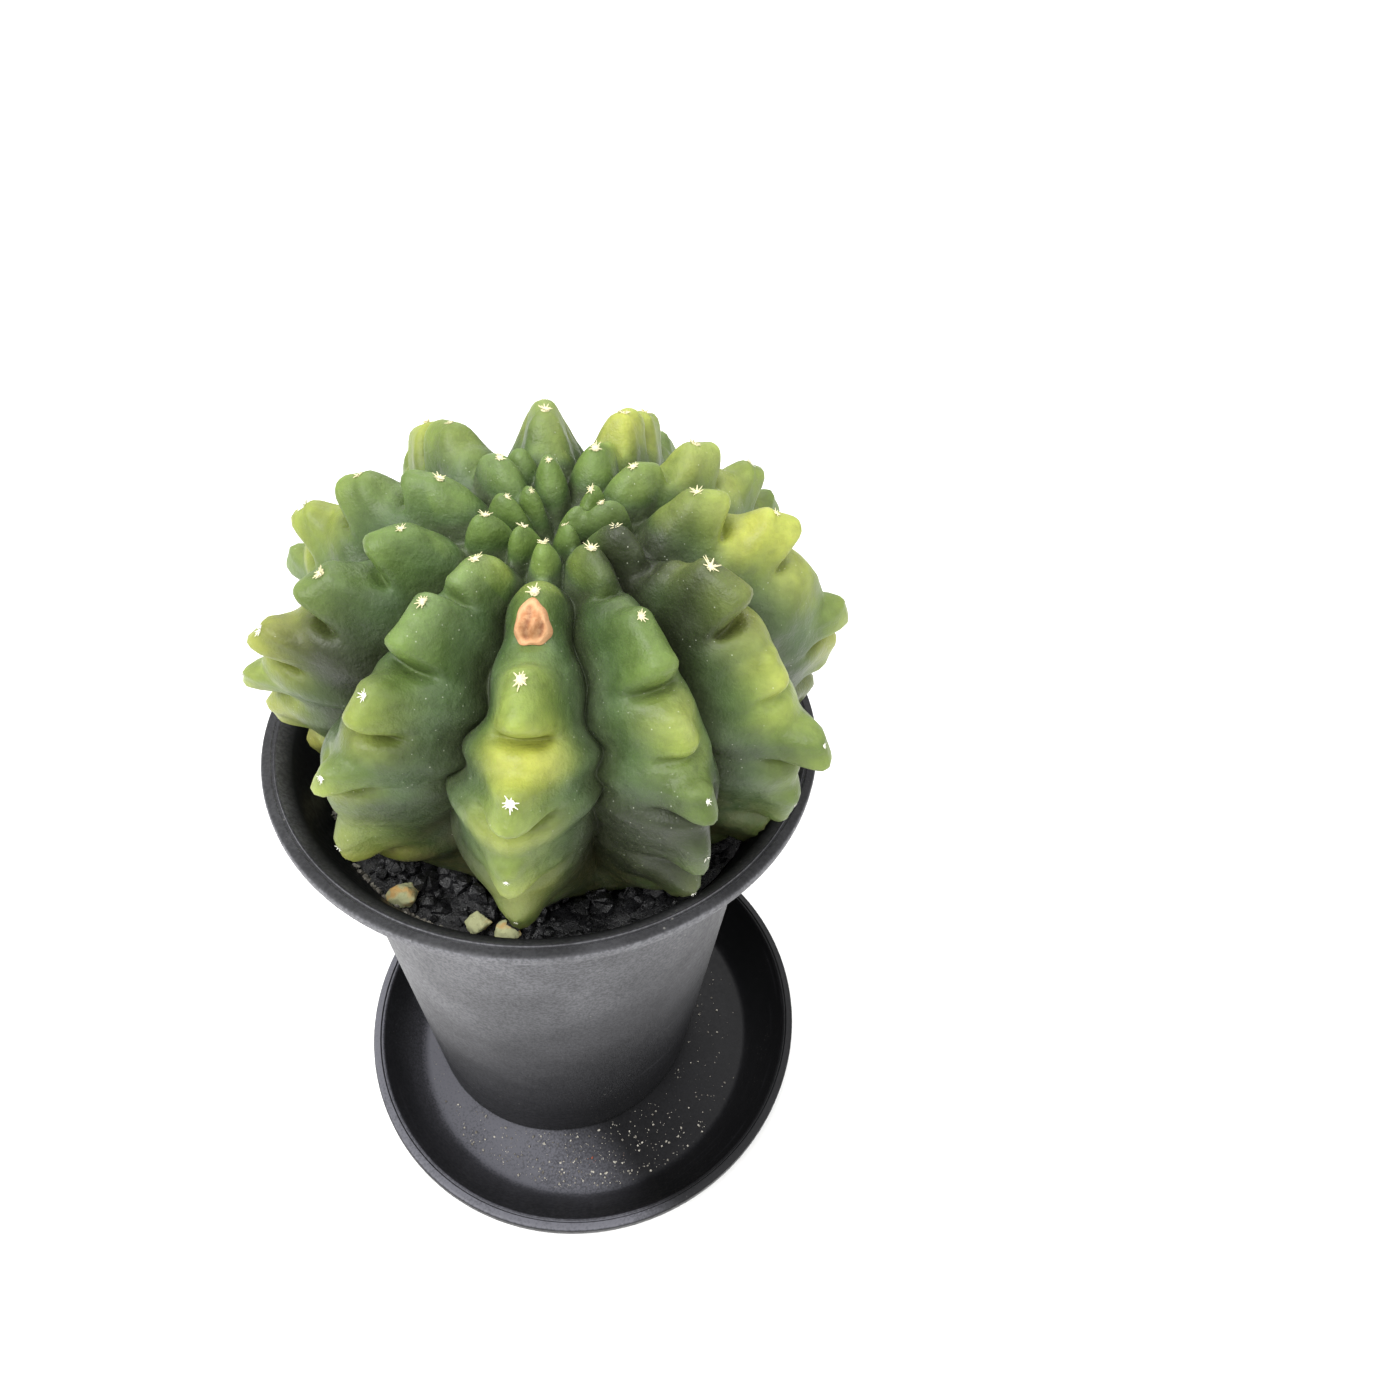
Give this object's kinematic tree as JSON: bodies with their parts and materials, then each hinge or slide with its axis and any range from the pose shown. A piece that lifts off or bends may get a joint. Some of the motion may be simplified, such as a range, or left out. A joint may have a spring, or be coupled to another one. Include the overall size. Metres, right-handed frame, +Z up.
{
  "type": "potted round cactus",
  "caption": "Round ribbed cactus with chin-like tubercles, growing in a tall flared plastic pot of dark grit that stands in a deep round saucer.",
  "frame": {"origin": "centre of the saucer's flat underside", "axes": "+Z up, along the plant and pot; -Y is the front, +X the plant's right as seen from the front"},
  "size_m": [0.1214, 0.122, 0.1856],
  "materials": {
    "saucer_plastic": "satin, dusty inside",
    "pot_plastic": "matte",
    "lava_soil": "rough",
    "cactus_skin": "satin",
    "pale_stone": "rough",
    "lava_grit": "rough, glossy facets",
    "areole_wool": "woolly",
    "corky_scar": "matte"
  },
  "bodies": {
    "root": {"saucer": "saucer_plastic", "pot": "pot_plastic", "soil_bed": "lava_soil", "cactus_stem": "cactus_skin", "pale_stone_1": "pale_stone", "pale_stone_2": "pale_stone", "pale_stone_3": "pale_stone", "pale_stone_4": "pale_stone", "grit_01": "lava_grit", "grit_02": "lava_grit", "grit_03": "lava_grit", "grit_04": "lava_grit", "grit_05": "lava_grit", "grit_06": "lava_grit", "grit_07": "lava_grit", "grit_08": "lava_grit", "grit_09": "lava_grit", "grit_10": "lava_grit", "grit_11": "lava_grit", "grit_12": "lava_grit", "grit_13": "lava_grit", "grit_14": "lava_grit", "grit_15": "lava_grit", "grit_16": "lava_grit", "grit_17": "lava_grit", "grit_18": "lava_grit", "grit_19": "lava_grit", "grit_20": "lava_grit"}
  },
  "joints": []
}
